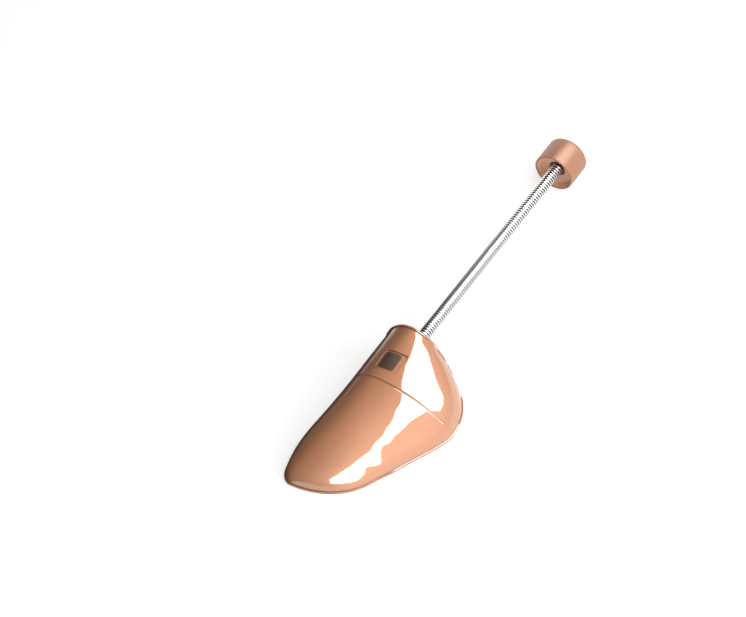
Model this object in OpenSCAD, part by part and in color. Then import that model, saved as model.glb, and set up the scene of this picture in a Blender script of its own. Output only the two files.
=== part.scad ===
// Spiral shoe stretcher: a foot-shaped toe piece, a close-coiled spring and a round heel cup.
// +X runs along the spring from the toe piece to the heel cup, +Z is up.
// The part rests on the rim of the toe piece and on the heel cup. The form fits a left shoe.
// The origin is on the floor, in the middle of the overall length and width.

/* [Toe piece] */
// Length of the toe piece, along the spring's line
toe_length = 127; // [120:1:131]
// Wall of the toe piece
wall = 2.2; // [1.8:0.1:2.8]
// Height of the crown at the rear edge
crown_height = 30.5; // [28:0.5:36]
// How far the ball of the foot stands out beyond the rear edge
ball_bulge = 28; // [20:0.5:30]
// Half width of the rear edge
rear_half = 24.5; // [22:0.5:28]
// How far each cross-section leans back towards the inner side, per millimetre
lean = 0.065; // [0:0.005:0.15]
// Thickness of the lip round the rim
lip_thick = 1.2; // [0.8:0.1:1.6]
// How far the lip stands out
lip_out = 0.9; // [0.5:0.1:1.5]

/* [Mark and groove] */
// Side of the square recess on the crown
mark_side = 16; // [12:0.5:18]
// Depth of the square recess
mark_deep = 0.8; // [0.4:0.1:1]
// Distance of the recess's middle from the rear edge
mark_back = 29.5; // [27:0.5:32]
// Distance of the cross groove from the rear edge
groove_back = 45; // [43:0.5:60]
// Width of the cross groove
groove_wide = 1.6; // [1:0.1:2.5]
// Depth of the cross groove
groove_deep = 0.6; // [0.3:0.1:0.9]

/* [Spring] */
// Outer diameter of the spring
spring_diameter = 8; // [7.5:0.1:8.6]
// Wire of the spring
wire = 1.7; // [1.5:0.05:1.75]
// Distance from one curl to the next
pitch = 2.2; // [2.16:0.01:2.3]
// Curls held in the toe piece, before the first bend
front_curls = 11; // [10:1:12]
// Curls in each bending stretch
bend_curls = 7; // [6:1:8]
// Curls after the last bend
rear_curls = 10; // [9:1:11]

/* [Heel cup] */
// Outer diameter of the heel cup, whose radius is also the height of the spring's axis
cup_diameter = 28; // [26:0.5:32]
// Length of the heel cup
cup_length = 20.8; // [19:0.1:24]
// Wall of the heel cup
cup_wall = 1.4; // [1.2:0.1:1.8]
// Depth of the recess in the cup's mouth
cup_recess = 5; // [4:0.5:6]
// Diameter of the hole that the spring passes through
cup_hole = 11.6; // [10.5:0.1:12]
// Radius of the rounded edge at the cup's closed end
cup_round = 3.2; // [2:0.1:4.5]

/* [Hidden] */
// Spring: one helix from start_x to end_x, cut where a bend joint stands
coil_nodes = 12;
function coil_name(i) = str("spring_coil_", i < 10 ? "0" : "", i);

copper = [0.80, 0.52, 0.38];
dark_copper = [0.62, 0.40, 0.30];
steel = [0.80, 0.80, 0.82];
brown_plastic = [0.30, 0.20, 0.16];

axis_z = cup_diameter / 2;
coil_r = (spring_diameter - wire) / 2;
first_bend_x = 1.6;
start_x = first_bend_x - front_curls * pitch;
last_bend_x = first_bend_x + (coil_nodes - 2) * bend_curls * pitch;
end_x = last_bend_x + rear_curls * pitch;
all_curls = front_curls + (coil_nodes - 2) * bend_curls + rear_curls;
curls_before = concat([0], [for (i = [0:coil_nodes - 2]) front_curls + i * bend_curls], [all_curls]);
rings_a_curl = 8;
wire_sides = 6;

// Plugs: a shank inside the spring's end and a collar that holds it
shank_r = 1.9;
shank_long = 19;
front_collar_r = 5.5;
front_collar_long = 3;
rear_collar_r = 7.5;
rear_collar_long = 3.2;
turning_gap = 0.05;
end_gap = 0.2;
coil_gap = 0.05;
// The collars stand off the spring's end points by the wire's radius and a little more
collar_off = wire / 2 + coil_gap;
front_collar_x = start_x - collar_off;
rear_collar_x = end_x + collar_off;

// Heel cup: the ring closes the chamber that the rear collar turns in
ring_thick = 1.6;
ring_x = rear_collar_x - end_gap - ring_thick;
cup_mouth_x = ring_x - cup_recess;
cup_r = cup_diameter / 2;
cup_end_x = cup_mouth_x + cup_length;
sleeve_r = rear_collar_r + turning_gap;
sleeve_wall = 1.6;
step_in = 1;
cup_floor = 2;
mouth_edge = 0.4;

// Toe piece: distances along the form are counted back from its rear edge towards the tip
nose_from = 83;
corner_long = 15;
corner_high = 13;
arc_steps = 26;
outer_power = 1.9;
inner_power = 1.95;
inner_widening = 2;
inner_turn = 0.35;
mark_aside = -2.2;
mark_corner = 1.5;
ball_rows = [[0, 0], [9, 0.48], [22, 0.86], [35, 1.03], [46, 1.05], [58, 0.9], [72, 0.66], [84, 0.46],
    [98, 0.28], [131, 0.25]];
crown_rows = [[0, 1], [28, 0.965], [52, 0.86], [83, 0.755], [109, 0.61], [131, 0.47]];
shift_rows = [[0, 0], [46, 0], [84, 3], [109, 8.8], [120, 13.2], [131, 18.2]];

// Cradle and clamp under the crown, the screws that join them, and the ribs
clamp_from = 8;
clamp_to = 30;
clamp_back = 28.6;
clamp_half = 14;
clamp_thick = 6.6;
clamp_gap = 0.1;
cradle_thick = 6;
screw_y = 9.4;
screw_r = 1.5;
screw_gap = 0.1;
boss_wall_low = 1.8;
boss_wall_high = 2.4;
screw_head_r = 2.9;
screw_head_high = 2;
screw_head_taper = 0.6;
screw_slot_long = 3.2;
screw_slot_wide = 0.8;
screw_slot_deep = 1;
screw_top = axis_z + 9;
screw_room = 0.5;
rib_thick = 1.8;
rib_taper = 0.6;
rib_low = 5;
rib_reach = 80;
rib_places = [38, 58, 78, 98];
cradle_slack = [0.15, 0.2, 0.4];
clamp_slack = [0.05, 0.1, 0.2];
way_long = 60;

// Smooth curve through rows of [place, value]
function row_at(rows, x, i = 0) =
    (i >= len(rows) - 2 || x < rows[i + 1][0]) ? i : row_at(rows, x, i + 1);
function slope(rows, i) =
    let (a = rows[max(i - 1, 0)], b = rows[min(i + 1, len(rows) - 1)])
    (b[1] - a[1]) / (b[0] - a[0]);
function through(rows, x) =
    let (i = row_at(rows, x), p = rows[i], q = rows[i + 1], w = q[0] - p[0], t = (x - p[0]) / w)
    p[1] * (1 + 2 * t) * (1 - t) ^ 2 + slope(rows, i) * w * t * (1 - t) ^ 2
    + q[1] * t ^ 2 * (3 - 2 * t) - slope(rows, i + 1) * w * t ^ 2 * (1 - t);

// The nose closes like an ellipse in plan and more bluntly in height
function nose(d) = max(0, (d - nose_from) / (toe_length - nose_from));
function close_wide(d) = sqrt(max(0, 1 - nose(d) ^ 2));
function close_high(d) = max(0, 1 - nose(d) ^ 3) ^ (1 / 3);

// Lowest point of the rim at distance d: the rear corners are rounded upwards
function rim_low(d) = d >= corner_long ? 0
    : corner_high * (1 - sqrt(1 - ((corner_long - d) / corner_long) ^ 2));

// A point of the form: station d, turn around the arch from 0 (outer side) to 180 (inner side).
// lift moves the edges of the form up from its rim, to leave room for the lip.
function outer_half(d) = rear_half + ball_bulge * through(ball_rows, d) + through(shift_rows, d);
function inner_half(d) = rear_half + inner_widening * d / toe_length - inner_turn * through(shift_rows, d);
function arch_point(station, turn, inset, lift) =
    let (
        d = max(station, station + (1 - station / corner_long) * lift),
        h = (crown_height * through(crown_rows, d) - inset) * close_high(d),
        inner = turn > 90,
        n = inner ? inner_power : outer_power,
        half = ((inner ? inner_half(d) : outer_half(d)) - inset) * close_wide(d),
        low = asin(min(1, ((rim_low(station) + lift) / max(h, 0.01)) ^ (n / 2))),
        up = low + (inner ? 180 - turn : turn) * (90 - low) / 90,
        side = half * max(0, cos(up)) ^ (2 / n),
        y = through(shift_rows, d) + (inner ? side : -side),
        run = d <= nose_from ? d : d - inset * nose(d)
    )
    [-run + lean * y, y, h * max(0, sin(up)) ^ (2 / n)];

stations = concat(
    [for (i = [0:5]) corner_long * (1 - cos(i * 15))],
    [for (i = [0:7]) corner_long + (groove_back - groove_wide / 2 - corner_long) * i / 7],
    [groove_back, groove_back + groove_wide / 2],
    [for (i = [1:8]) groove_back + groove_wide / 2 + (nose_from - groove_back - groove_wide / 2) * i / 8],
    [for (i = [1:12]) nose_from + (toe_length - nose_from) * sin(i * 7.2)]
);
rows = len(stations);
row = arc_steps + 1;

// The groove runs over the crown and ends a little above the rim on both sides
function in_groove(d, j) = abs(d - groove_back) < 0.01 && j > 3 && j < arc_steps - 2;
function skin(inset, lift, deep = 0) = [for (d = stations) each [for (j = [0:arc_steps])
    arch_point(d, 180 * j / arc_steps, inset + (in_groove(d, j) ? deep : 0), lift)]];
function tip(inset) = arch_point(toe_length, 0, inset, 0);

// Faces of a skin whose first point is a, closed at its tip
function skin_faces(a, tip) = concat(
    [for (i = [0:rows - 2]) for (j = [0:row - 2]) let (p = a + i * row + j)
        each [[p, p + row, p + row + 1], [p, p + row + 1, p + 1]]],
    [for (j = [0:row - 2]) let (p = a + (rows - 1) * row + j) [p, tip, p + 1]]
);
function turned(faces) = [for (f = faces) [f[2], f[1], f[0]]];
// Faces between two loops of points
function band(p, q) = let (n = len(p)) [for (k = [0:n - 1]) let (e = (k + 1) % n)
    each [[p[k], p[e], q[e]], [p[k], q[e], q[k]]]];

// Solid form, without its hollow
module form(inset) {
    last = (rows - 1) * row;
    polyhedron(concat(skin(inset, 0), [tip(inset)]), concat(
        skin_faces(0, rows * row),
        [for (i = [0:rows - 2]) let (p = i * row)
            each [[p, p + row - 1, p + 2 * row - 1], [p, p + 2 * row - 1, p + row]]],
        [[last, last + row - 1, last + row]],
        [for (j = [1:row - 2]) [0, j, j + 1]]
    ));
}

// The rim as one loop of numbers in a skin: outer side, tip, inner side, and back over the rear edge
rim_loop = concat(
    [for (i = [0:rows - 1]) i * row],
    [rows * row],
    [for (i = [rows - 1:-1:0]) i * row + arc_steps],
    [for (j = [arc_steps - 1:-1:1]) j]
);
function unit(v) = v / norm(v);
lip_edges = let (
        edge = concat(skin(0, 0), [tip(0)]),
        top = concat(skin(0, lip_thick), [tip(0) + [0, 0, lip_thick]]),
        n = len(rim_loop)
    ) [for (k = [0:n - 1])
        let (
            p = edge[rim_loop[k]],
            along = edge[rim_loop[(k + 1) % n]] - edge[rim_loop[(k + n - 1) % n]],
            up = p[2] < 0.01 ? [0, 0, 1] : top[rim_loop[k]] - p,
            out = unit(cross(up, along)) * lip_out
        ) [p + out, top[rim_loop[k]] + out]];

// The wall between the outer and the inner skin, with the lip along its rim
module shell_wall() {
    count = rows * row + 1;
    n = len(rim_loop);
    lip_top = [for (k = [0:n - 1]) 2 * count + k];
    lip_low = [for (k = [0:n - 1]) 2 * count + n + k];
    inner = [for (k = rim_loop) count + k];
    polyhedron(
        concat(skin(0, lip_thick, groove_deep), [tip(0) + [0, 0, lip_thick]], skin(wall, 0), [tip(wall)],
            [for (e = lip_edges) e[1]], [for (e = lip_edges) [e[0][0], e[0][1], max(0, e[0][2])]]),
        concat(skin_faces(0, count - 1), turned(skin_faces(count, 2 * count - 1)),
            band(lip_top, rim_loop), band(lip_low, lip_top), band(inner, lip_low))
    );
}

// The part's middle, measured on the lip and the cup
mid_x = (min([for (e = lip_edges) e[0][0]]) + cup_end_x) / 2;
mid_y = (min([for (e = lip_edges) e[0][1]]) + max([for (e = lip_edges) e[0][1]])) / 2;
module placed() translate([-mid_x, -mid_y, 0]) children();
echo(middle = [mid_x, mid_y], spring_from = start_x - mid_x, spring_to = end_x - mid_x, axis_y = -mid_y);

// Square recess on the crown, as deep everywhere as the crown is curved
module mark_cut() difference() {
    translate([-mark_back, mark_aside, crown_height / 2])
        linear_extrude(crown_height)
            offset(mark_corner) square(mark_side - 2 * mark_corner, center = true);
    form(mark_deep);
}

// What stands under the crown: cradle over the spring, screw bosses and ribs, thinner at their free edges
module at_screw(y) translate([-(clamp_from + clamp_to) / 2, y, 0]) children();
module boss(y) at_screw(y) hull() {
    translate([0, 0, axis_z]) cylinder(r = screw_r + boss_wall_low, h = 1, $fn = 32);
    translate([0, 0, crown_height]) cylinder(r = screw_r + boss_wall_high, h = 1, $fn = 32);
}
module rib(from, to, low) hull() for (z = [low, crown_height]) {
    t = z == low ? rib_thick : rib_thick + rib_taper;
    d = to - from;
    along = abs(d[0]) > abs(d[1]);
    translate([min(from[0], to[0]) - (along ? 0 : t / 2), min(from[1], to[1]) - (along ? t / 2 : 0), z])
        cube([along ? abs(d[0]) : t, along ? t : abs(d[1]), 0.5]);
}
module inner_work() {
    translate([-clamp_to, -clamp_half, axis_z])
        cube([clamp_to - clamp_from, 2 * clamp_half, cradle_thick]);
    for (y = [-screw_y, screw_y]) boss(y);
    for (y = [-clamp_half + rib_thick / 2, clamp_half - rib_thick / 2])
        rib([-clamp_from, y], [-clamp_to, y], axis_z);
    rib([-clamp_to + 1, 0], [-toe_length, 0], rib_low);
    for (d = rib_places) rib([-d, -rib_reach], [-d, rib_reach], rib_low);
}
// Room for the spring and the front collar: slack is [round the spring, round the collar, behind the collar]
module spring_way(slack) {
    translate([front_collar_x - front_collar_long - slack[2], 0, axis_z]) rotate([0, 90, 0]) {
        cylinder(r = spring_diameter / 2 + slack[0], h = way_long, $fn = 48);
        cylinder(r = front_collar_r + slack[1], h = front_collar_long + slack[2], $fn = 48);
    }
}
module toe_shell() color(copper) placed() difference() {
    union() {
        shell_wall();
        intersection() {
            form(wall / 2);
            difference() {
                inner_work();
                spring_way(cradle_slack);
                for (y = [-screw_y, screw_y]) at_screw(y)
                    cylinder(r = screw_r + screw_gap, h = screw_top + screw_room, $fn = 32);
            }
        }
    }
    mark_cut();
}

// Saddle that holds the spring's end up against the cradle
module spring_clamp() color(dark_copper) placed() difference() {
    translate([-clamp_back, -clamp_half, axis_z - clamp_thick])
        cube([clamp_back - clamp_from, 2 * clamp_half, clamp_thick - clamp_gap]);
    spring_way(clamp_slack);
    for (y = [-screw_y, screw_y]) at_screw(y) cylinder(r = screw_r + screw_gap, h = axis_z, $fn = 32);
}

// Pan-head screw from below
module clamp_screw(y) color(steel) placed() at_screw(y) translate([0, 0, axis_z - clamp_thick]) {
    difference() {
        translate([0, 0, -screw_head_high])
            cylinder(r1 = screw_head_r - screw_head_taper, r2 = screw_head_r, h = screw_head_high);
        for (a = [0, 90]) rotate(a) translate([0, 0, -screw_head_high])
            cube([screw_slot_long, screw_slot_wide, 2 * screw_slot_deep], center = true);
    }
    cylinder(r = screw_r, h = screw_top - axis_z + clamp_thick);
}

// Turned peg: collar, and a shank inside the spring's end
module plug(x, collar_r, collar_long)
    color(brown_plastic) placed() translate([x, 0, axis_z]) rotate([0, 90, 0]) {
        cylinder(r = shank_r, h = shank_long);
        translate([0, 0, -collar_long]) cylinder(r = collar_r, h = collar_long);
    }
module front_plug() plug(front_collar_x, front_collar_r, front_collar_long);
module rear_plug() mirror_at(rear_collar_x) plug(rear_collar_x, rear_collar_r, rear_collar_long);
module mirror_at(x) translate([x - mid_x, 0, 0]) mirror([1, 0, 0]) translate([mid_x - x, 0, 0]) children();

// One stretch of the helix, between two cuts at the bottom of a curl
function coil_ring(k) =
    let (turn = 360 * k / rings_a_curl, x = start_x + pitch * k / rings_a_curl)
    [for (s = [0:wire_sides - 1]) let (a = 360 * s / wire_sides, r = coil_r - wire / 2 * sin(a))
        [x + wire / 2 * cos(a), r * sin(turn), axis_z - r * cos(turn)]];
module spring_coil(i) {
    from = curls_before[i - 1] * rings_a_curl;
    to = curls_before[i] * rings_a_curl;
    n = to - from + 1;
    last = (n - 1) * wire_sides;
    color(steel) placed() polyhedron([for (k = [from:to]) each coil_ring(k)], concat(
        [for (k = [0:n - 2]) each [for (s = [0:wire_sides - 1])
            let (a = k * wire_sides, b = a + wire_sides, t = (s + 1) % wire_sides)
            each [[a + s, a + t, b + t], [a + s, b + t, b + s]]]],
        [for (s = [1:wire_sides - 2]) [0, s + 1, s]],
        [for (s = [1:wire_sides - 2]) [last, last + s, last + s + 1]]
    ));
}
least_gap = min([for (k = [0:rings_a_curl]) for (p = coil_ring(0))
    for (q = coil_ring(rings_a_curl / 2 + k)) norm(p - q)]);
echo(least_gap_of_the_spring_to_itself = least_gap, curls = all_curls);

// Recessed floor of the cup
module heel_ring() color(dark_copper) placed()
    translate([ring_x, 0, axis_z]) rotate([0, 90, 0]) difference() {
        cylinder(r = cup_r - cup_wall, h = ring_thick);
        translate([0, 0, -1]) cylinder(r = cup_hole / 2, h = ring_thick + 2);
    }

// Cup turned about the spring's axis: mouth, ring seat, sleeve for the collar and rounded closed end
module heel_cup() {
    seat = cup_recess + ring_thick;
    room = seat + 2 * end_gap + rear_collar_long;
    floor = cup_length - cup_floor;
    bore = cup_r - cup_wall;
    color(copper) placed() translate([cup_mouth_x, 0, axis_z]) rotate([0, 90, 0]) rotate_extrude()
        polygon(concat(
            [[bore, mouth_edge], [bore + mouth_edge, 0], [cup_r - mouth_edge, 0], [cup_r, mouth_edge]],
            [for (a = [0:10:90]) [cup_r - cup_round * (1 - cos(a)), cup_length - cup_round * (1 - sin(a))]],
            [[0, cup_length], [0, floor], [sleeve_r - step_in, floor], [sleeve_r - step_in, room],
             [sleeve_r, room], [sleeve_r, seat], [sleeve_r + sleeve_wall, seat],
             [sleeve_r + sleeve_wall, floor], [bore - step_in, floor], [bore - step_in, seat], [bore, seat]]
        ));
}

toe_shell();
spring_clamp();
clamp_screw(screw_y);  // clamp_screw_inner
clamp_screw(-screw_y);  // clamp_screw_outer
front_plug();
for (i = [1:coil_nodes]) spring_coil(i);
rear_plug();
heel_ring();
heel_cup();
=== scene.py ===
"""Spiral shoe stretcher: toe piece, close-coiled spring and heel cup, dressed around the CAD frame."""

import math

import bpy
from mathutils import Matrix, Vector


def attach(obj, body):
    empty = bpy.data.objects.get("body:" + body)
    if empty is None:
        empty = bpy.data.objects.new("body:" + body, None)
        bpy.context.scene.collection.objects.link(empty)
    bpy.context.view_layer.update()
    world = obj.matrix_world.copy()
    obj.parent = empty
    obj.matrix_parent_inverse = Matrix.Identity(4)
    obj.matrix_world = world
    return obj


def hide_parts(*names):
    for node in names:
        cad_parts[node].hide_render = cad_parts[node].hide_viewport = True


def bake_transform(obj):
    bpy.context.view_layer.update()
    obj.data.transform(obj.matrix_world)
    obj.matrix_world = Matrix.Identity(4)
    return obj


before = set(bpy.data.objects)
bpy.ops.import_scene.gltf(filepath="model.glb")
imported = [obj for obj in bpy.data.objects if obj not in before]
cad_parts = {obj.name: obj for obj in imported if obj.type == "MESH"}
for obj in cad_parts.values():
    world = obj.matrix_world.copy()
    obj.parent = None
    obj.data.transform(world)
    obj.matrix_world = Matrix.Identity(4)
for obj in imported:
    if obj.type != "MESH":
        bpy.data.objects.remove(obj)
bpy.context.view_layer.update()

# Shapes are worked out in millimetres and brought to metres by MM when they are done
MM = 0.001

# Points of a mesh that are nearer than this are one point, edges of a cut that are shorter than this are
# dissolved, and a point lower than this is on the floor
MERGE = 0.001
SLIVER = 0.003
ON_FLOOR = 0.01

# The spring's axis, which runs along X
AXIS_Y = 12.872
AXIS_Z = 14.0

# Camera: far away with a long lens, looking down on the outer side of the toe piece, with ANCHOR, the axis
# at the toe piece's rear edge, at ANCHOR_PIXEL of the picture
TO_CAMERA = Vector((-0.54133, -0.44543, 0.71312))
PICTURE_UP = Vector((0.65342, 0.3109, 0.69021))
PICTURE_WIDE, PICTURE_HIGH = 746, 617
PIXELS_A_MM = 1.5703
FAR = 3333
ANCHOR = Vector((-32.776, AXIS_Y, AXIS_Z))
ANCHOR_PIXEL = (415.77, 345.59)

# Spring
SPRING_START = -55.376
SPRING_END = 144.824
FIRST_BEND = -31.176
BEND_STEP = 15.4
BENDS = 11
CURLS_A_STEP = 7.5
SPRING_R = 4.0
WIRE_R = 0.95
WIRE_SIDES = 14
STEPS_A_CURL = 32

# Toe piece: distances along it are counted from its rear edge towards the tip, as in the part's source.
# MIDDLE is the whole part's middle, seen from the spring's axis at that edge
MIDDLE = (32.7761, -AXIS_Y)
TOE_LENGTH = 127
CROWN = 30.5
BULGE = 28
REAR_HALF = 24.5
WIDENING = 2
TURN_IN = 0.35
LEAN = 0.065
WALL = 2.2
LIP_THICK = 1.2
LIP_OUT = 0.8
LIP_ROUND = 0.22
NOSE_FROM = 83
CORNER_LONG = 15
CORNER_HIGH = 13
OUTER_POWER = 1.9
INNER_POWER = 1.95
GROOVE_BACK = 45
GROOVE_WIDE = 1.6
GROOVE_DEEP = 0.6
GROOVE_ENDS = (20, 165)
GROOVE_FADE = 5
MARK_BACK = 29.5
MARK_ASIDE = -2.2
MARK_SIDE = 16
MARK_DEEP = 0.8
MARK_CORNER = 1.5
PLATE_HALF = (6.4, 5.4)
PLATE_SHIFT = 1.2
PLATE_THICK = 0.3
PLATE_GAP = 0.02

# Curves along the toe piece, as rows of (distance, value): the share of BULGE by which the outer side
# stands out, the share of CROWN that the ridge keeps, and how far a section lies towards the inner side
BALL = [(0, 0), (9, 0.48), (22, 0.86), (35, 1.03), (46, 1.05), (58, 0.9), (72, 0.66), (84, 0.46),
        (98, 0.28), (131, 0.25)]
CROWN_DROP = [(0, 1), (28, 0.965), (52, 0.877), (83, 0.755), (109, 0.61), (131, 0.47)]
SHIFT = [(0, 0), (46, 0), (84, 3), (109, 8.8), (120, 13.2), (131, 18.2)]

# Rows of the toe form's loft from the rear corners to the nose, and its columns over the arch
CORNER_ROWS = 12
SIDE_ROWS = 18
GROOVE_ROWS = 14
GROOVE_REACH = 1.4
NOSE_ROWS = 29
NOSE_TURN = 3.05
ARC = 96

# Heel cup, which rests on the floor too, so that its radius is the axis's height
CUP_R = AXIS_Z
CUP_WALL = 1.4
CUP_FROM = 138.924
CUP_LONG = 20.8
CUP_RECESS = 5
CUP_ROUND = 3.2
CUP_FLOOR = 2
RING_THICK = 1.6
SEAT_STEP = 1
SLEEVE_R, SLEEVE_OUT, SLEEVE_STEP = 7.55, 9.15, 1
COLLAR_ROOM = 3.6
LINING_FROM = 0.7
LINING_IN, LINING_OUT = 0.03, 0.2

# Cradle, screw bosses and ribs under the crown, which cuts their tops off
CLAMP_FROM, CLAMP_TO, CLAMP_HALF = 8, 30, 14
CRADLE_THICK = 6
SCREW_AT = (-19, 9.4)
BOSS_R, BOSS_ROOT_R, BOSS_TOP = 3.3, 3.9, CROWN + 1
RIB_THICK, RIB_ROOT, RIB_LOW, RIB_TOP = 1.8, 2.4, 5, CROWN + 0.5
RIB_PLACES = (38, 58, 78, 98)
RIB_REACH = 80

# Room in the cradle for the spring's end and for the front plug's collar
SPRING_ROOM = 0.15
ROOM_END = 20
POCKET_OFF, POCKET_LONG, POCKET_R = 0.9, 3.4, 5.7

# Floor: its grey, and the light that it adds where it is seen as the background
FLOOR_GREY = 0.62
FLOOR_GLOW = 0.58

# The world's light, by how far a direction points along Y
WORLD_SHADE = {"From Min": -0.7, "From Max": 0.4, "To Min": 0.85, "To Max": 0.05}

# Dark card on the floor, for reflections only: its height and its outline in metres
CARD_HIGH = 0.0005
CARD_OUTLINE = [(-0.3, 0.03), (0, 0.03), (0, 0.2), (0.5, 0.2), (0.5, 0.5), (-0.3, 0.5)]

# Soft lamp: its height and its shift along X in metres, the strengths of the lamp and of its twin, and
# its outline as seen on a ceiling one metre up
LAMP_HIGH = 1.2
LAMP_SHIFT = -0.07
LAMP_STRENGTH, LAMP_GLOSS = 2.1, 8
LAMP_OUTLINE = [(0.7, 0.2), (0.51, 0.21), (0.38, 0.15), (0.3, 0.04), (0.14, -0.21), (0.05, -0.37),
                (-0.15, -0.51), (-0.55, -0.42), (-1.35, -0.39), (-2.9, -0.95), (-2.2, -4.2), (-0.72, -2.2),
                (-0.34, -1.25), (-0.15, -0.85), (-0.05, -0.71), (0.04, -0.51), (0.12, -0.44), (0.34, -0.53),
                (0.82, -0.99), (1.28, -1.13), (1.38, -1.01), (1.18, -0.59), (1.3, -0.23)]


def place_camera():
    up = (PICTURE_UP - TO_CAMERA * PICTURE_UP.dot(TO_CAMERA)).normalized()
    right = up.cross(TO_CAMERA)
    across = (ANCHOR_PIXEL[0] - PICTURE_WIDE / 2) / PIXELS_A_MM
    down = (ANCHOR_PIXEL[1] - PICTURE_HIGH / 2) / PIXELS_A_MM
    target = ANCHOR - right * across + up * down
    data = bpy.data.cameras.new("camera")
    data.sensor_width = 36
    data.lens = PIXELS_A_MM * FAR * data.sensor_width / PICTURE_WIDE
    data.clip_start = 0.01
    data.clip_end = 20
    camera = bpy.data.objects.new("camera", data)
    bpy.context.scene.collection.objects.link(camera)
    camera.matrix_world = Matrix.Translation((target + TO_CAMERA * FAR) * MM) @ Matrix(
        (right, up, TO_CAMERA)).transposed().to_4x4()
    bpy.context.scene.camera = camera


place_camera()


# Helpers for shaping

def only(piece):
    """Makes the piece the only selected one, and the active one."""
    bpy.ops.object.select_all(action="DESELECT")
    piece.select_set(True)
    bpy.context.view_layer.objects.active = piece
    return piece


def settle(piece):
    """Puts the piece's place into its mesh."""
    only(piece)
    bpy.ops.object.transform_apply(location=True, rotation=True, scale=True)
    return piece


def apply_all(piece):
    only(piece)
    for modifier in list(piece.modifiers):
        bpy.ops.object.modifier_apply(modifier=modifier.name)
    return piece


def edit(piece, mode="VERT"):
    """Edit mode with nothing selected."""
    only(piece)
    bpy.ops.object.mode_set(mode="EDIT")
    bpy.ops.mesh.select_mode(type=mode)
    bpy.ops.mesh.select_all(action="DESELECT")


def leave():
    bpy.ops.object.mode_set(mode="OBJECT")


def leave_outwards():
    """Turns every face outwards and leaves edit mode."""
    bpy.ops.mesh.select_all(action="SELECT")
    bpy.ops.mesh.normals_make_consistent(inside=False)
    leave()


def join(pieces):
    bpy.ops.object.select_all(action="DESELECT")
    for piece in pieces:
        piece.select_set(True)
    bpy.context.view_layer.objects.active = pieces[0]
    bpy.ops.object.join()
    return pieces[0]


def boolean(piece, tool, operation):
    """Cuts or joins the piece with a tool, which is used up."""
    modifier = piece.modifiers.new("cut", "BOOLEAN")
    modifier.operation = operation
    modifier.solver = "EXACT"
    modifier.object = tool
    apply_all(piece)
    bpy.data.objects.remove(tool)
    return piece


def on_axis(x):
    """A place on the spring's axis."""
    return Vector((x, AXIS_Y, AXIS_Z))


def box(low, high):
    """Block between two corners."""
    low, high = Vector(low), Vector(high)
    bpy.ops.mesh.primitive_cube_add(size=1, location=(low + high) / 2)
    piece = bpy.context.object
    piece.scale = high - low
    return settle(piece)


def rod(start, end, radius, sides=64, end_radius=None):
    """Round rod, or a cone, between two points."""
    start, end = Vector(start), Vector(end)
    along = end - start
    bpy.ops.mesh.primitive_cone_add(vertices=sides, radius1=radius, radius2=end_radius or radius,
                                    depth=along.length, location=(start + end) / 2)
    piece = bpy.context.object
    piece.rotation_euler = along.to_track_quat("Z", "Y").to_euler()
    return settle(piece)


def finish_piece(piece, name, material, degrees):
    """Brings a piece to metres, smooths it and gives it its name and finish."""
    piece.data.transform(Matrix.Scale(MM, 4))
    only(piece)
    bpy.ops.object.shade_smooth_by_angle(angle=math.radians(degrees))
    piece.name = name
    piece.data.name = name
    piece.data.materials.clear()
    piece.data.materials.append(material)
    return piece


# Finishes

def moulded_grain():
    """Faint unevenness of a moulded surface: a slow swell and a fine mottling, both from 0 to 1."""
    tree = bpy.data.node_groups.new("moulded_grain", "ShaderNodeTree")
    tree.interface.new_socket("Scale", in_out="INPUT", socket_type="NodeSocketFloat")
    tree.interface.new_socket("Swell", in_out="OUTPUT", socket_type="NodeSocketFloat")
    tree.interface.new_socket("Mottle", in_out="OUTPUT", socket_type="NodeSocketFloat")
    nodes, links = tree.nodes, tree.links
    come = nodes.new("NodeGroupInput")
    go = nodes.new("NodeGroupOutput")
    place = nodes.new("ShaderNodeTexCoord")
    swell = nodes.new("ShaderNodeTexNoise")
    swell.inputs["Detail"].default_value = 1.0
    mottle = nodes.new("ShaderNodeTexNoise")
    mottle.inputs["Scale"].default_value = 2600
    mottle.inputs["Detail"].default_value = 2.0
    for noise in (swell, mottle):
        links.new(place.outputs["Object"], noise.inputs["Vector"])
    links.new(come.outputs["Scale"], swell.inputs["Scale"])
    links.new(swell.outputs["Fac"], go.inputs["Swell"])
    links.new(mottle.outputs["Fac"], go.inputs["Mottle"])
    return tree


def metal_flakes():
    """Fine metallic flakes in a lacquer: a value from 0 to 1 that changes from flake to flake."""
    tree = bpy.data.node_groups.new("metal_flakes", "ShaderNodeTree")
    tree.interface.new_socket("Scale", in_out="INPUT", socket_type="NodeSocketFloat")
    tree.interface.new_socket("Flakes", in_out="OUTPUT", socket_type="NodeSocketFloat")
    nodes, links = tree.nodes, tree.links
    come = nodes.new("NodeGroupInput")
    go = nodes.new("NodeGroupOutput")
    place = nodes.new("ShaderNodeTexCoord")
    cells = nodes.new("ShaderNodeTexVoronoi")
    split = nodes.new("ShaderNodeSeparateColor")
    links.new(place.outputs["Object"], cells.inputs["Vector"])
    links.new(come.outputs["Scale"], cells.inputs["Scale"])
    links.new(cells.outputs["Color"], split.inputs["Color"])
    links.new(split.outputs["Red"], go.inputs["Flakes"])
    return tree


GRAIN = moulded_grain()
FLAKES = metal_flakes()


def new_material(name):
    material = bpy.data.materials.new(name)
    material.use_nodes = True
    return material, material.node_tree


def start_finish(name):
    """Material with its tree, its shader and the moulded grain."""
    material, tree = new_material(name)
    grain = tree.nodes.new("ShaderNodeGroup")
    grain.node_tree = GRAIN
    return material, tree, tree.nodes["Principled BSDF"], grain


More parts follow.
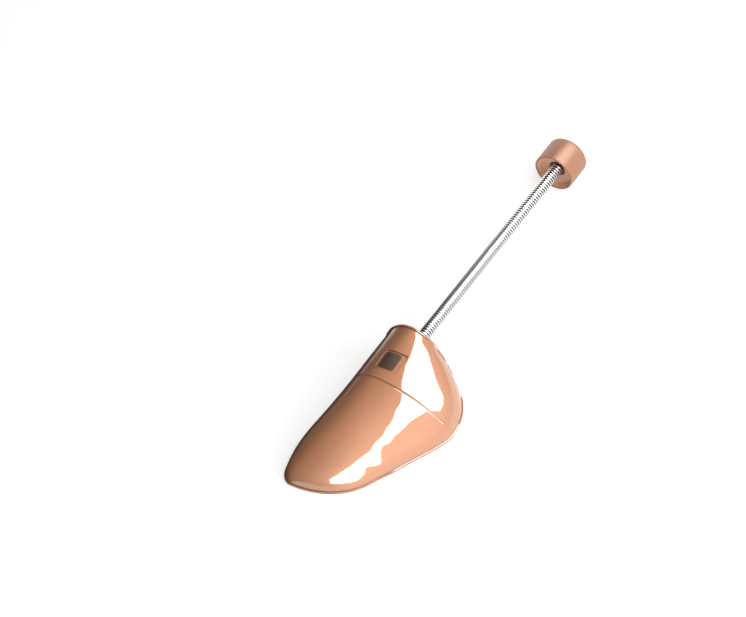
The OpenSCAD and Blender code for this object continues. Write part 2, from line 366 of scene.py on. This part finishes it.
def vary_colour(tree, shader, by, dark, light):
    mix = tree.nodes.new("ShaderNodeMix")
    mix.data_type = "RGBA"
    mix.inputs["A"].default_value = (*dark, 1)
    mix.inputs["B"].default_value = (*light, 1)
    tree.links.new(by, mix.inputs["Factor"])
    tree.links.new(mix.outputs["Result"], shader.inputs["Base Color"])


def paint_crease_shade(tree, shader, dark, reach, start=0.55, stop=0.95):
    """Painted shade: grooves, gaps and inner corners get a darker colour where ambient occlusion finds them
    closed in.
    """
    bare = shader.inputs["Base Color"].links[0].from_socket
    open_sky = tree.nodes.new("ShaderNodeAmbientOcclusion")
    open_sky.inputs["Distance"].default_value = reach
    share = tree.nodes.new("ShaderNodeMapRange")
    share.inputs["From Min"].default_value = start
    share.inputs["From Max"].default_value = stop
    mix = tree.nodes.new("ShaderNodeMix")
    mix.data_type = "RGBA"
    mix.inputs["A"].default_value = (*dark, 1)
    tree.links.new(open_sky.outputs["AO"], share.inputs["Value"])
    tree.links.new(share.outputs["Result"], mix.inputs["Factor"])
    tree.links.new(bare, mix.inputs["B"])
    tree.links.new(mix.outputs["Result"], shader.inputs["Base Color"])


def vary_roughness(tree, shader, by, low, high):
    spread = tree.nodes.new("ShaderNodeMapRange")
    spread.inputs["To Min"].default_value = low
    spread.inputs["To Max"].default_value = high
    tree.links.new(by, spread.inputs["Value"])
    tree.links.new(spread.outputs["Result"], shader.inputs["Roughness"])


def relief(tree, shader, by, strength, distance):
    bump = tree.nodes.new("ShaderNodeBump")
    bump.inputs["Strength"].default_value = strength
    bump.inputs["Distance"].default_value = distance
    tree.links.new(by, bump.inputs["Height"])
    tree.links.new(bump.outputs["Normal"], shader.inputs["Normal"])


def copper_lacquer(name, dark, light, metallic, rough, coat, coat_rough):
    """Copper-coloured metallic lacquer on plastic, under a clear coat."""
    material, tree, shader, grain = start_finish(name)
    grain.inputs["Scale"].default_value = 25
    flakes = tree.nodes.new("ShaderNodeGroup")
    flakes.node_tree = FLAKES
    flakes.inputs["Scale"].default_value = 6000
    vary_colour(tree, shader, flakes.outputs["Flakes"], dark, light)
    # Painted shade: the lacquer turns darker in grooves, gaps and inner corners
    paint_crease_shade(tree, shader, [c * 0.3 for c in dark], reach=0.0014)
    vary_roughness(tree, shader, grain.outputs["Mottle"], low=rough * 0.85, high=rough * 1.15)
    relief(tree, shader, grain.outputs["Swell"], strength=0.05, distance=0.0003)
    shader.inputs["Metallic"].default_value = metallic
    shader.inputs["Coat Weight"].default_value = coat
    shader.inputs["Coat Roughness"].default_value = coat_rough
    shader.inputs["Coat IOR"].default_value = 2.0
    return material


def bright_wire():
    """Nickel-plated spring wire, with painted shade between its turns."""
    material, tree, shader, grain = start_finish("bright_wire")
    grain.inputs["Scale"].default_value = 400
    vary_colour(tree, shader, grain.outputs["Swell"], (0.86, 0.86, 0.85), (0.95, 0.95, 0.94))
    # Painted shade: near-black in the gaps between the wire's turns
    paint_crease_shade(tree, shader, (0.008, 0.008, 0.007), reach=0.002, start=0.7, stop=0.96)
    vary_roughness(tree, shader, grain.outputs["Mottle"], low=0.1, high=0.16)
    shader.inputs["Metallic"].default_value = 1.0
    return material


def plain_finish(name, colour, rough, metallic=0.0):
    """One colour with a fine mottling and relief."""
    material, tree, shader, grain = start_finish(name)
    grain.inputs["Scale"].default_value = 300
    dark = [c * 0.85 for c in colour]
    light = [min(1.0, c * 1.1) for c in colour]
    vary_colour(tree, shader, grain.outputs["Mottle"], dark, light)
    relief(tree, shader, grain.outputs["Mottle"], strength=0.15, distance=0.0002)
    shader.inputs["Roughness"].default_value = rough
    shader.inputs["Metallic"].default_value = metallic
    return material


toe_lacquer = copper_lacquer("toe_lacquer", (0.51, 0.21, 0.10), (0.61, 0.27, 0.135),
                             metallic=0.25, rough=0.5, coat=1.0, coat_rough=0.02)
cup_lacquer = copper_lacquer("cup_lacquer", (0.37, 0.165, 0.09), (0.46, 0.215, 0.125),
                             metallic=0.15, rough=0.5, coat=0.2, coat_rough=0.3)
plate_lacquer = plain_finish("plate_lacquer", (0.15, 0.095, 0.065), rough=0.35, metallic=0.5)
# Painted light: lighter copper for the heel ring and the inside of the cup's mouth, where the recess lies
# in shade
lit_ring_lacquer = plain_finish("lit_ring_lacquer", (0.78, 0.47, 0.33), rough=0.5)
under_plastic = plain_finish("under_plastic", (0.46, 0.25, 0.16), rough=0.4)
# Painted shade: the plugs are the copper plastic darkened to how it looks in shade
shaded_peg_plastic = plain_finish("shaded_peg_plastic", (0.20, 0.09, 0.055), rough=0.5)
wire_metal = bright_wire()
screw_metal = plain_finish("zinc_plate", (0.62, 0.62, 0.64), rough=0.3, metallic=1.0)


# Toe piece

def slope(rows, i):
    """Slope of the curve at one of its rows."""
    a, b = rows[max(i - 1, 0)], rows[min(i + 1, len(rows) - 1)]
    return (b[1] - a[1]) / (b[0] - a[0])


def through(rows, x):
    """Smooth curve through rows of (place, value)."""
    i = 0
    while i < len(rows) - 2 and x >= rows[i + 1][0]:
        i += 1
    p, q = rows[i], rows[i + 1]
    w = q[0] - p[0]
    t = (x - p[0]) / w
    return (p[1] * (1 + 2 * t) * (1 - t) ** 2 + slope(rows, i) * w * t * (1 - t) ** 2
            + q[1] * t ** 2 * (3 - 2 * t) - slope(rows, i + 1) * w * t ** 2 * (1 - t))


def held(value):
    """The value, kept between 0 and 1."""
    return min(1.0, max(0.0, value))


def rim_low(d):
    """Height of the rim, which rises round the rear corners."""
    if d >= CORNER_LONG:
        return 0.0
    return CORNER_HIGH * (1 - math.sqrt(1 - ((CORNER_LONG - d) / CORNER_LONG) ** 2))


def form_point(station, turn, inset, lift):
    """A point of the toe form: turn goes round the arch from 0 (outer side) to 180 (inner side)."""
    d = max(station, station + (1 - station / CORNER_LONG) * lift)
    nose = held((d - NOSE_FROM) / (TOE_LENGTH - NOSE_FROM))
    wide = math.sqrt(1 - nose ** 2)
    high = (1 - nose ** 3) ** (1 / 3)
    shift = through(SHIFT, d)
    h = (CROWN * through(CROWN_DROP, d) - inset) * high
    inner = turn > 90
    if inner:
        n, half = INNER_POWER, REAR_HALF + WIDENING * d / TOE_LENGTH - TURN_IN * shift
    else:
        n, half = OUTER_POWER, REAR_HALF + BULGE * through(BALL, d) + shift
    half = (half - inset) * wide
    low = math.degrees(math.asin(min(1.0, ((rim_low(station) + lift) / max(h, 0.01)) ** (n / 2))))
    up = math.radians(low + (180 - turn if inner else turn) * (90 - low) / 90)
    side = half * max(0.0, math.cos(up)) ** (2 / n)
    y = shift + (side if inner else -side)
    z = h * max(0.0, math.sin(up)) ** (2 / n)
    run = d if d <= NOSE_FROM else d - inset * nose
    if station == TOE_LENGTH:
        z = lift
    return Vector((-run + LEAN * y - MIDDLE[0], y - MIDDLE[1], z))


def form_stations():
    """Rows of the loft: fine at the rear corners, in the groove and at the nose."""
    turns = [math.radians(i * 90 / CORNER_ROWS) for i in range(CORNER_ROWS)]
    corner = [CORNER_LONG * (1 - math.cos(turn)) for turn in turns]
    start, stop = GROOVE_BACK - GROOVE_REACH, GROOVE_BACK + GROOVE_REACH
    back = [CORNER_LONG + (start - CORNER_LONG) * i / SIDE_ROWS for i in range(SIDE_ROWS)]
    groove = [start + (stop - start) * i / GROOVE_ROWS for i in range(GROOVE_ROWS + 1)]
    ball = [stop + (NOSE_FROM - stop) * i / SIDE_ROWS for i in range(1, SIDE_ROWS + 1)]
    turns = [math.radians(i * NOSE_TURN) for i in range(1, NOSE_ROWS + 1)]
    nose = [NOSE_FROM + (TOE_LENGTH - NOSE_FROM) * math.sin(turn) for turn in turns]
    return corner + back + groove + ball + nose + [TOE_LENGTH]


def groove_depth(d, turn):
    """Depth of the cross groove at a place, rounded across and running out at its ends."""
    across = max(0.0, 1 - (abs(d - GROOVE_BACK) / (GROOVE_WIDE / 2)) ** 4)
    along = held((turn - GROOVE_ENDS[0]) / GROOVE_FADE) * held((GROOVE_ENDS[1] - turn) / GROOVE_FADE)
    return GROOVE_DEEP * across * along


def loft(name, inset, lift, groove=False):
    """One skin of the toe form: a grid whose rows are laid on the form's sections, closed at the tip."""
    stations = form_stations()
    last = len(stations) - 1
    bpy.ops.mesh.primitive_grid_add(x_subdivisions=last, y_subdivisions=ARC, size=1)
    piece = bpy.context.object
    piece.name = name
    for vertex in piece.data.vertices:
        d = stations[round((vertex.co.x + 0.5) * last)]
        turn = 180 * (vertex.co.y + 0.5)
        vertex.co = form_point(d, turn, inset + (groove_depth(d, turn) if groove else 0), lift)
    edit(piece)
    bpy.ops.mesh.select_all(action="SELECT")
    bpy.ops.mesh.remove_doubles(threshold=MERGE)
    leave()
    return piece


def closed_form(name, inset):
    """The toe form as a solid, used as a tool for cutting."""
    piece = loft(name, inset, 0)
    edit(piece, "EDGE")
    bpy.ops.mesh.select_non_manifold()
    bpy.ops.mesh.edge_face_add()
    leave_outwards()
    return piece


def key(point):
    """The point to the nearest micron, by which it is found again."""
    return tuple(round(c, 3) for c in point)


def rim():
    """The rim as one loop of (station, turn): outer side, tip, inner side, and back over the rear edge."""
    stations = form_stations()
    loop = [(d, 0) for d in stations] + [(d, 180) for d in reversed(stations[:-1])]
    return loop + [(0.0, 180 * j / ARC) for j in range(ARC - 1, 0, -1)]


def lip_steps():
    """For each rim point of the outer skin: the lip's upper edge and its lower edge."""
    loop = rim()
    edge = [form_point(d, turn, 0, 0) for d, turn in loop]
    top = [form_point(d, turn, 0, LIP_THICK) for d, turn in loop]
    steps = {}
    for k, point in enumerate(edge):
        along = edge[(k + 1) % len(edge)] - edge[k - 1]
        up = Vector((0, 0, 1)) if point.z < ON_FLOOR else top[k] - point
        out = up.cross(along).normalized() * LIP_OUT
        low = point + out
        low.z = max(0.0, low.z)
        steps[key(top[k])] = (top[k] + out, low)
    return steps


def picked(piece):
    """Leaves edit mode and gives the vertices that were selected in it."""
    leave()
    return [v for v in piece.data.vertices if v.select]


def add_lip(skin):
    """Extrudes the skin's rim outwards and then down, so that a lip runs all round it."""
    steps = lip_steps()
    edit(skin, "EDGE")
    bpy.ops.mesh.select_non_manifold()
    bpy.ops.mesh.extrude_edges_move()
    lows = {}
    for vertex in picked(skin):
        top, low = steps[key(vertex.co)]
        vertex.co = top
        lows[key(top)] = low
    bpy.ops.object.mode_set(mode="EDIT")
    bpy.ops.mesh.extrude_edges_move()
    for vertex in picked(skin):
        vertex.co = lows[key(vertex.co)]


def over_mark(half_x, half_y, shift, inset):
    """Block with rounded upright corners, whose underside follows the crown a little below its surface."""
    x, y = -MARK_BACK - MIDDLE[0], MARK_ASIDE - MIDDLE[1] + shift
    block = box((x - half_x, y - half_y, CROWN / 2), (x + half_x, y + half_y, CROWN * 1.5))
    edit(block, "EDGE")
    leave()
    for edge in block.data.edges:
        a, b = (block.data.vertices[v].co for v in edge.vertices)
        edge.select = abs(a.z - b.z) > CROWN / 2
    bpy.ops.object.mode_set(mode="EDIT")
    bpy.ops.mesh.bevel(offset=MARK_CORNER, segments=6)
    leave()
    return boolean(block, closed_form("under_mark", inset), "DIFFERENCE")


def mark_plate():
    """Thin bare plate, a hair above the floor of the recess."""
    plate = over_mark(*PLATE_HALF, PLATE_SHIFT, MARK_DEEP - PLATE_GAP)
    return boolean(plate, closed_form("plate_top", MARK_DEEP - PLATE_THICK), "INTERSECT")


def toe_moulding():
    """Outer skin with its lip, inner skin, and the square recess."""
    skin = loft("toe_outer", 0, LIP_THICK, groove=True)
    add_lip(skin)
    shell = join([skin, loft("toe_inner", WALL, 0)])
    edit(shell, "EDGE")
    bpy.ops.mesh.select_non_manifold()
    bpy.ops.mesh.bridge_edge_loops()
    leave_outwards()
    rounding = shell.modifiers.new("rounding", "BEVEL")
    rounding.width = LIP_ROUND
    rounding.segments = 2
    rounding.limit_method = "ANGLE"
    rounding.angle_limit = math.radians(50)
    apply_all(shell)
    return boolean(shell, over_mark(MARK_SIDE / 2, MARK_SIDE / 2, 0, MARK_DEEP), "DIFFERENCE")


def rib(low, high):
    """Upright rib, thinner at its free lower edge than at its root."""
    piece = box(low, high)
    thin = 0 if high[0] - low[0] < high[1] - low[1] else 1
    middle = (low[thin] + high[thin]) / 2
    for vertex in piece.data.vertices:
        if vertex.co.z < (low[2] + high[2]) / 2:
            vertex.co[thin] = middle + (vertex.co[thin] - middle) * RIB_THICK / RIB_ROOT
    return piece


def under_frame():
    """Cradle over the spring, screw bosses and ribs, cut to fit under the crown."""
    x0, y0 = MIDDLE
    t = RIB_ROOT / 2
    parts = [box((-CLAMP_TO - x0, -CLAMP_HALF - y0, AXIS_Z),
                 (-CLAMP_FROM - x0, CLAMP_HALF - y0, AXIS_Z + CRADLE_THICK))]
    for side in (-1, 1):
        x, y = SCREW_AT[0] - x0, side * SCREW_AT[1] - y0
        parts.append(rod((x, y, AXIS_Z), (x, y, BOSS_TOP), BOSS_R, sides=32, end_radius=BOSS_ROOT_R))
        y = side * (CLAMP_HALF - RIB_THICK / 2) - y0
        parts.append(rib((-CLAMP_TO - x0, y - t, AXIS_Z), (-CLAMP_FROM - x0, y + t, RIB_TOP)))
    parts.append(rib((-TOE_LENGTH - x0, -t - y0, RIB_LOW), (-CLAMP_TO + 1 - x0, t - y0, RIB_TOP)))
    for d in RIB_PLACES:
        parts.append(rib((-d - t - x0, -RIB_REACH - y0, RIB_LOW), (-d + t - x0, RIB_REACH - y0, RIB_TOP)))
    whole = parts[0]
    for part in parts[1:]:
        boolean(whole, part, "UNION")
    boolean(whole, closed_form("under_crown", WALL / 2), "INTERSECT")
    room = rod(on_axis(SPRING_START - 1), on_axis(ROOM_END), SPRING_R + SPRING_ROOM)
    boolean(whole, room, "DIFFERENCE")
    collar = SPRING_START - POCKET_OFF
    pocket = rod(on_axis(collar - POCKET_LONG), on_axis(collar), POCKET_R)
    boolean(whole, pocket, "DIFFERENCE")
    edit(whole)
    bpy.ops.mesh.select_all(action="SELECT")
    bpy.ops.mesh.dissolve_degenerate(threshold=SLIVER)
    leave()
    return whole


# Spring

def coil(low, high):
    """A stretch of the close-coiled wire between two places, wound from one round section."""
    pitch = BEND_STEP / CURLS_A_STEP
    curls = (high - low) / pitch
    bpy.ops.mesh.primitive_circle_add(vertices=WIRE_SIDES, radius=WIRE_R,
                                      location=(SPRING_R - WIRE_R, 0, 0), rotation=(math.pi / 2, 0, 0))
    piece = settle(bpy.context.object)
    winding = piece.modifiers.new("winding", "SCREW")
    winding.angle = 2 * math.pi * curls
    winding.screw_offset = high - low
    winding.steps = winding.render_steps = round(STEPS_A_CURL * curls)
    winding.use_merge_vertices = False
    apply_all(piece)
    edit(piece, "EDGE")
    bpy.ops.mesh.select_non_manifold()
    bpy.ops.mesh.fill_holes(sides=0)
    leave_outwards()
    start = 2 * math.pi * (low - SPRING_START) / pitch
    piece.data.transform(Matrix.Translation(on_axis(low)) @ Matrix.Rotation(math.pi / 2, 4, "Y")
                         @ Matrix.Rotation(start, 4, "Z"))
    return piece


def make_spring():
    """One coil cut halfway between the bends. The end stretches are rigid with the toe and with the
    spring's end, and the others are left in place without a body."""
    half = BEND_STEP / 2
    cuts = [FIRST_BEND - half + i * BEND_STEP for i in range(BENDS + 1)]
    places = [SPRING_START] + cuts + [SPRING_END]
    for i in range(BENDS + 2):
        piece = finish_piece(coil(places[i], places[i + 1]), "spring_%02d" % i, wire_metal,
                             degrees=50)
        if i == 0:
            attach(piece, "toe")
            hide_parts("spring_coil_01")
        elif i > BENDS:
            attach(piece, "spring_end")
        else:
            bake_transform(piece)
            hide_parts("spring_coil_%02d" % (i + 1))


# Heel cup

def turned(outline, steps=128):
    """A round piece on the spring's axis, spun from a closed outline of (place along the axis, radius)."""
    bpy.ops.mesh.primitive_circle_add(vertices=len(outline))
    piece = bpy.context.object
    for vertex, (x, r) in zip(piece.data.vertices, outline):
        vertex.co = (r, 0, x)
    spin = piece.modifiers.new("spin", "SCREW")
    spin.steps = spin.render_steps = steps
    spin.use_merge_vertices = True
    spin.merge_threshold = MERGE
    apply_all(piece)
    edit(piece)
    bpy.ops.mesh.select_all(action="SELECT")
    bpy.ops.mesh.remove_doubles(threshold=MERGE)
    leave_outwards()
    piece.data.transform(Matrix.Translation(on_axis(0)) @ Matrix.Rotation(math.pi / 2, 4, "Y"))
    return piece


def arc(x, r, radius, start, stop, steps):
    """Points of a rounding: angles run from along the axis (0) to outwards (90)."""
    angles = [math.radians(start + (stop - start) * i / steps) for i in range(steps + 1)]
    return [(x + radius * math.cos(a), r + radius * math.sin(a)) for a in angles]


def make_cup():
    """Rounded mouth, seat for the ring, sleeve round the rear plug's collar, and rounded closed end."""
    mouth, end, seat = CUP_FROM, CUP_FROM + CUP_LONG, CUP_FROM + CUP_RECESS + RING_THICK
    bore = CUP_R - CUP_WALL
    half = CUP_WALL / 2
    floor = end - CUP_FLOOR
    room = seat + COLLAR_ROOM
    step, core = bore - SEAT_STEP, SLEEVE_R - SLEEVE_STEP
    outline = arc(mouth + half, bore + half, half, start=90, stop=270, steps=12)
    outline += [(seat, bore), (seat, step), (floor, step), (floor, SLEEVE_OUT), (seat, SLEEVE_OUT),
                (seat, SLEEVE_R), (room, SLEEVE_R), (room, core), (floor, core), (floor, 0), (end, 0)]
    outline += arc(end - CUP_ROUND, CUP_R - CUP_ROUND, CUP_ROUND, start=0, stop=90, steps=16)
    return turned(outline)


def make_lit_lining():
    """Inside of the cup's mouth in a lighter satin copper: painted light where the recess lies in shade."""
    low, high = CUP_FROM + LINING_FROM, CUP_FROM + CUP_RECESS
    bore = CUP_R - CUP_WALL
    return turned([(low, bore - LINING_IN), (low, bore + LINING_OUT),
                   (high, bore + LINING_OUT), (high, bore - LINING_IN)])


# Stage: pale floor that glows as the background, the world's light and soft lamps

def make_floor():
    """Floor that keeps the shadow and adds a glow to camera, glossy and transmission rays."""
    bpy.ops.mesh.primitive_plane_add(size=12)
    floor = bpy.context.object
    floor.name = "floor"
    material, tree = new_material("floor")
    shader = tree.nodes["Principled BSDF"]
    shader.inputs["Base Color"].default_value = (FLOOR_GREY, FLOOR_GREY, FLOOR_GREY, 1)
    shader.inputs["Roughness"].default_value = 0.9
    white = tree.nodes.new("ShaderNodeEmission")
    rays = tree.nodes.new("ShaderNodeLightPath")
    background = rays.outputs["Is Camera Ray"]
    for kind in ("Is Glossy Ray", "Is Transmission Ray"):
        either = tree.nodes.new("ShaderNodeMath")
        either.operation = "MAXIMUM"
        tree.links.new(background, either.inputs[0])
        tree.links.new(rays.outputs[kind], either.inputs[1])
        background = either.outputs["Value"]
    seen = tree.nodes.new("ShaderNodeMath")
    seen.operation = "MULTIPLY"
    seen.inputs[1].default_value = FLOOR_GLOW
    both = tree.nodes.new("ShaderNodeAddShader")
    tree.links.new(background, seen.inputs[0])
    tree.links.new(seen.outputs["Value"], white.inputs["Strength"])
    tree.links.new(shader.outputs["BSDF"], both.inputs[0])
    tree.links.new(white.outputs["Emission"], both.inputs[1])
    tree.links.new(both.outputs["Shader"], tree.nodes["Material Output"].inputs["Surface"])
    floor.data.materials.append(material)


def make_world():
    """White light that is stronger from the outer side than from the inner side."""
    world = bpy.data.worlds.new("world")
    world.use_nodes = True
    tree = world.node_tree
    light = tree.nodes["Background"]
    light.inputs["Color"].default_value = (1, 1, 1, 1)
    way = tree.nodes.new("ShaderNodeTexCoord")
    split = tree.nodes.new("ShaderNodeSeparateXYZ")
    shade = tree.nodes.new("ShaderNodeMapRange")
    for socket, value in WORLD_SHADE.items():
        shade.inputs[socket].default_value = value
    tree.links.new(way.outputs["Generated"], split.inputs["Vector"])
    tree.links.new(split.outputs["Y"], shade.inputs["Value"])
    tree.links.new(shade.outputs["Result"], light.inputs["Strength"])
    bpy.context.scene.world = world


def glowing(name, strength):
    material, tree = new_material(name)
    tree.nodes.remove(tree.nodes["Principled BSDF"])
    glow = tree.nodes.new("ShaderNodeEmission")
    glow.inputs["Strength"].default_value = strength
    tree.links.new(glow.outputs["Emission"], tree.nodes["Material Output"].inputs["Surface"])
    return material


def panel(name, corners, strength):
    """Flat glowing panel of the stage, out of the camera's sight."""
    mesh = bpy.data.meshes.new(name)
    mesh.from_pydata(corners, [], [range(len(corners))])
    made = bpy.data.objects.new(name, mesh)
    bpy.context.scene.collection.objects.link(made)
    mesh.materials.append(glowing(name, strength))
    made.visible_camera = False
    return made


def only_glossy(made):
    """Leaves a panel to reflections, so that it neither lights nor shades anything."""
    made.visible_diffuse = False
    made.visible_shadow = False


def softbox():
    """Soft lamp over the toe piece, and a brighter twin that only reflections show."""
    corners = [(x * LAMP_HIGH + LAMP_SHIFT, y * LAMP_HIGH, LAMP_HIGH) for x, y in LAMP_OUTLINE]
    panel("softbox", corners, LAMP_STRENGTH).visible_glossy = False
    only_glossy(panel("softbox_gloss", corners, LAMP_GLOSS))


def upright(y, x, z):
    """Corners of an upright rectangle that faces along Y, in metres: x and z are its ranges."""
    return [(x[0], y, z[0]), (x[1], y, z[0]), (x[1], y, z[1]), (x[0], y, z[1])]


make_floor()
make_world()
softbox()
fill = panel("side_fill", upright(y=-1.3, x=(-0.9, 0.5), z=(0.2, 0.9)), strength=5)
fill.visible_glossy = False
only_glossy(panel("dark_card", [(x, y, CARD_HIGH) for x, y in CARD_OUTLINE], strength=0))
only_glossy(panel("spring_reflector", upright(y=0.1, x=(0.09, 0.4), z=(0, 0.11)), strength=1.6))

shell = finish_piece(toe_moulding(), "toe_moulding", toe_lacquer, degrees=35)
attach(shell, "toe")
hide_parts("toe_shell")
ribs = finish_piece(under_frame(), "toe_under_frame", under_plastic, degrees=30)
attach(ribs, "toe")
plate = finish_piece(mark_plate(), "mark_plate", plate_lacquer, degrees=30)
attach(plate, "toe")
make_spring()
cup = finish_piece(make_cup(), "cup", cup_lacquer, degrees=35)
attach(cup, "heel")
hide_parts("heel_cup")
lining = finish_piece(make_lit_lining(), "cup_lit_lining", lit_ring_lacquer, degrees=35)
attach(lining, "heel")

for node, material in {"heel_ring": lit_ring_lacquer, "spring_clamp": under_plastic,
                       "front_plug": shaded_peg_plastic, "rear_plug": shaded_peg_plastic,
                       "clamp_screw_inner": screw_metal, "clamp_screw_outer": screw_metal}.items():
    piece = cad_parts[node]
    piece.data.materials.clear()
    piece.data.materials.append(material)

scene = bpy.context.scene
scene.view_settings.view_transform = "Standard"
